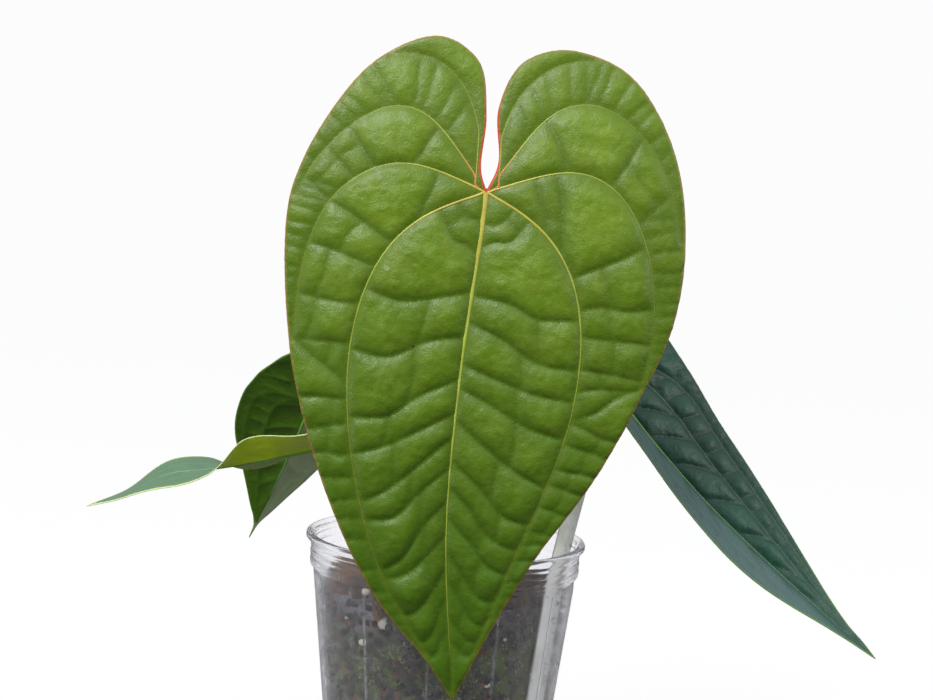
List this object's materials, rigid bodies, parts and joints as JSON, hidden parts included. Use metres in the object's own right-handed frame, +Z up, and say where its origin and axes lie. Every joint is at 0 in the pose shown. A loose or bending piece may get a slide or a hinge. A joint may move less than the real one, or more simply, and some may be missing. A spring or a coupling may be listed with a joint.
{
  "type": "potted anthurium",
  "caption": "Heart-leaved anthurium on long stalks, rooted in bark mix in a clear tapered pot with a plant label pushed in beside the wall.",
  "frame": {"origin": "middle of the pot's flat underside", "axes": "+Z up out of the pot, -Y towards the side where the largest leaf hangs, +X to the right seen from there"},
  "size_m": [0.3404, 0.1923, 0.3155],
  "materials": {
    "clear_plastic": "gloss",
    "bark_mix": "matte",
    "stem": "matte",
    "label_plastic": "satin",
    "fresh_leaf": "satin",
    "old_leaf": "satin",
    "stalk": "satin",
    "root": "matte",
    "sheath": "matte",
    "bark": "matte",
    "perlite": "matte"
  },
  "bodies": {
    "root": {"pot": "clear_plastic", "bark_mix": "bark_mix", "stem": "stem", "plant_label": "label_plastic", "leaf_blade_front": "fresh_leaf", "leaf_stalk_front": "stalk", "leaf_blade_right": "old_leaf", "leaf_stalk_right": "stalk", "leaf_blade_left": "old_leaf", "leaf_stalk_left": "stalk", "leaf_blade_back": "old_leaf", "leaf_stalk_back": "stalk", "root_1": "root", "root_2": "root", "root_3": "root", "root_4": "root", "root_5": "root", "sheath_1": "sheath", "sheath_2": "sheath", "sheath_3": "sheath", "bark_chip_1": "bark", "bark_chip_2": "bark", "bark_chip_3": "bark", "bark_chip_4": "bark", "bark_chip_5": "bark", "bark_chip_6": "bark", "bark_chip_7": "bark", "bark_chip_8": "bark", "bark_chip_9": "bark", "bark_chip_10": "bark", "perlite_1": "perlite", "perlite_2": "perlite", "perlite_3": "perlite", "perlite_4": "perlite", "perlite_5": "perlite", "perlite_6": "perlite", "perlite_7": "perlite", "perlite_8": "perlite"}
  },
  "joints": []
}
